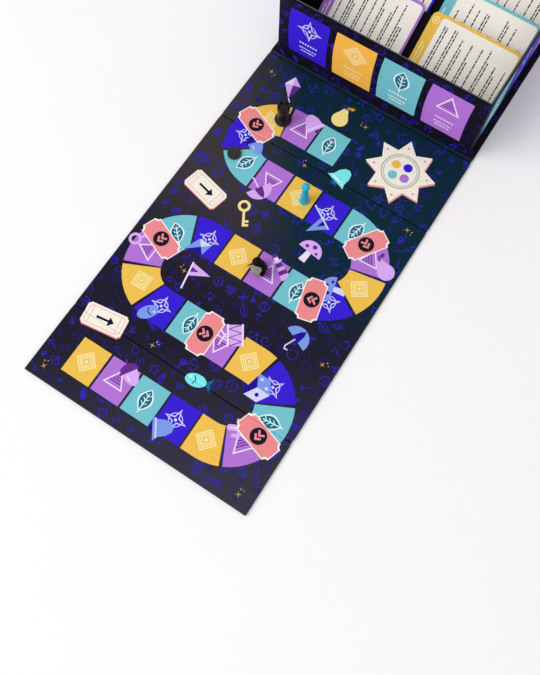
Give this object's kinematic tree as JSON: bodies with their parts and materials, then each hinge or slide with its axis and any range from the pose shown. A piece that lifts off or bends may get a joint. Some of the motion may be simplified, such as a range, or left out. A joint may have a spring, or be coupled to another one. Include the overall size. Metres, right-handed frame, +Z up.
{
  "type": "board game case",
  "caption": "Hinged wrap-around game case opened flat as a printed playing board, with a card tray on its base, leaning card decks and loose playing pieces.",
  "frame": {"origin": "middle of the base panel's underside", "axes": "+X along the case's width, +Y from the opened board to the back of the tray, +Z up"},
  "size_m": [0.27, 0.7374, 0.0984],
  "materials": {
    "cover_wrap": "matt laminated dark navy wrapping paper",
    "greyboard": "plain grey chipboard",
    "board_print": "matt laminated full-colour print",
    "hinge_cloth": "dark book cloth",
    "tray_wrap": "matt laminated dark navy print",
    "tray_lining": "matt near-black paper",
    "corner_tape": "kraft corner stay tape",
    "disc_steel": "plain steel",
    "magnet": "nickel-plated magnet",
    "purple_card": "coated card, cream face with a purple border",
    "blue_card": "coated card, cream face with a blue border",
    "teal_card": "coated card, cream face with a teal border",
    "yellow_card": "coated card, cream face with a yellow border",
    "rook_plastic": "polished black plastic",
    "felt": "felt",
    "pawn_plastic": "moulded teal-blue plastic",
    "penguin_plastic": "painted black and white",
    "puck_rubber": "moulded black rubber"
  },
  "bodies": {
    "case": {"base_wrap": "cover_wrap", "base_board": "greyboard", "base_print": "board_print", "front_fold_cloth": "hinge_cloth", "front_fold_crease": "board_print", "tray_floor": "greyboard", "tray_left_wall": "greyboard", "tray_right_wall": "greyboard", "tray_front_wall": "greyboard", "tray_back_wall": "greyboard", "tray_wrap": "tray_wrap", "tray_lining": "tray_lining", "tray_rim_tape": "tray_wrap", "tray_floor_lining": "tray_lining", "tray_corner_tapes": "corner_tape", "tray_steel_discs": "disc_steel", "front_card_slope": "tray_lining", "middle_card_slope": "tray_lining", "rear_card_slope": "tray_lining"},
    "front_flap": {"front_flap_wrap": "cover_wrap", "front_flap_board": "greyboard", "front_flap_print": "board_print", "lid_fold_cloth": "hinge_cloth", "lid_fold_crease": "board_print"},
    "lid": {"lid_wrap": "cover_wrap", "lid_board": "greyboard", "lid_print": "board_print", "end_fold_cloth": "hinge_cloth", "end_fold_crease": "board_print"},
    "end_flap": {"end_flap_wrap": "cover_wrap", "end_flap_board": "greyboard", "end_flap_print": "board_print", "end_flap_magnets": "magnet"},
    "left_purple_cards": {"left_purple_deck": "purple_card"},
    "left_purple_top_card": {"left_purple_front_card": "purple_card"},
    "left_blue_cards": {"left_blue_deck": "blue_card"},
    "left_blue_top_card": {"left_blue_front_card": "blue_card"},
    "left_teal_cards": {"left_teal_deck": "teal_card"},
    "left_teal_top_card": {"left_teal_front_card": "teal_card"},
    "right_yellow_cards": {"right_yellow_deck": "yellow_card"},
    "right_yellow_top_card": {"right_yellow_front_card": "yellow_card"},
    "right_teal_cards": {"right_teal_deck": "teal_card"},
    "right_teal_top_card": {"right_teal_front_card": "teal_card"},
    "right_blue_cards": {"right_blue_deck": "blue_card"},
    "right_blue_top_card": {"right_blue_front_card": "blue_card"},
    "rook_piece": {"rook": "rook_plastic", "rook_felt": "felt"},
    "pawn_piece": {"pawn": "pawn_plastic"},
    "penguin_piece": {"penguin": "penguin_plastic"},
    "puck_piece": {"puck": "puck_rubber"}
  },
  "joints": [
    {"name": "front_fold", "type": "hinge", "parent": "case", "child": "front_flap", "pos_m": [0, -0.1393, 0], "axis": [1, 0, 0], "range_deg": [-90, 0], "deforming": ["front_fold_cloth", "front_fold_crease"]},
    {"name": "lid_fold", "type": "hinge", "parent": "front_flap", "child": "lid", "pos_m": [0, -0.2417, 0], "axis": [1, 0, 0], "range_deg": [-90, 0], "deforming": ["lid_fold_cloth", "lid_fold_crease"]},
    {"name": "end_fold", "type": "hinge", "parent": "lid", "child": "end_flap", "pos_m": [0, -0.5171, 0], "axis": [1, 0, 0], "range_deg": [-90, 0], "deforming": ["end_fold_cloth", "end_fold_crease"]},
    {"name": "left_purple_deck_lift", "type": "slide", "parent": "case", "child": "left_purple_cards", "axis": [0, 0.8387, 0.5446], "range_m": [0, 0.172]},
    {"name": "left_purple_card_draw", "type": "slide", "parent": "left_purple_cards", "child": "left_purple_top_card", "axis": [0, 0.8387, 0.5446], "range_m": [0, 0.11]},
    {"name": "left_blue_deck_lift", "type": "slide", "parent": "case", "child": "left_blue_cards", "axis": [0, 0.8387, 0.5446], "range_m": [0, 0.172]},
    {"name": "left_blue_card_draw", "type": "slide", "parent": "left_blue_cards", "child": "left_blue_top_card", "axis": [0, 0.8387, 0.5446], "range_m": [0, 0.11]},
    {"name": "left_teal_deck_lift", "type": "slide", "parent": "case", "child": "left_teal_cards", "axis": [0, 0.8387, 0.5446], "range_m": [0, 0.172]},
    {"name": "left_teal_card_draw", "type": "slide", "parent": "left_teal_cards", "child": "left_teal_top_card", "axis": [0, 0.8387, 0.5446], "range_m": [0, 0.11]},
    {"name": "right_yellow_deck_lift", "type": "slide", "parent": "case", "child": "right_yellow_cards", "axis": [0, 0.8387, 0.5446], "range_m": [0, 0.172]},
    {"name": "right_yellow_card_draw", "type": "slide", "parent": "right_yellow_cards", "child": "right_yellow_top_card", "axis": [0, 0.8387, 0.5446], "range_m": [0, 0.11]},
    {"name": "right_teal_deck_lift", "type": "slide", "parent": "case", "child": "right_teal_cards", "axis": [0, 0.8387, 0.5446], "range_m": [0, 0.172]},
    {"name": "right_teal_card_draw", "type": "slide", "parent": "right_teal_cards", "child": "right_teal_top_card", "axis": [0, 0.8387, 0.5446], "range_m": [0, 0.11]},
    {"name": "right_blue_deck_lift", "type": "slide", "parent": "case", "child": "right_blue_cards", "axis": [0, 0.8387, 0.5446], "range_m": [0, 0.172]},
    {"name": "right_blue_card_draw", "type": "slide", "parent": "right_blue_cards", "child": "right_blue_top_card", "axis": [0, 0.8387, 0.5446], "range_m": [0, 0.11]},
    {"name": "rook_lift_off", "type": "slide", "parent": "case", "child": "rook_piece", "axis": [-0.7071, 0, 0.7071], "range_m": [0, 0.23]},
    {"name": "pawn_lift", "type": "slide", "parent": "lid", "child": "pawn_piece", "axis": [0, 0, 1], "range_m": [0, 0.06]},
    {"name": "penguin_lift", "type": "slide", "parent": "lid", "child": "penguin_piece", "axis": [0, 0, 1], "range_m": [0, 0.06]},
    {"name": "puck_lift", "type": "slide", "parent": "lid", "child": "puck_piece", "axis": [0, 0, 1], "range_m": [0, 0.06]}
  ],
  "couplings": [
    {"joint": "rook_lift_off", "follows": "front_fold", "m_per_rad": -0.143}
  ]
}
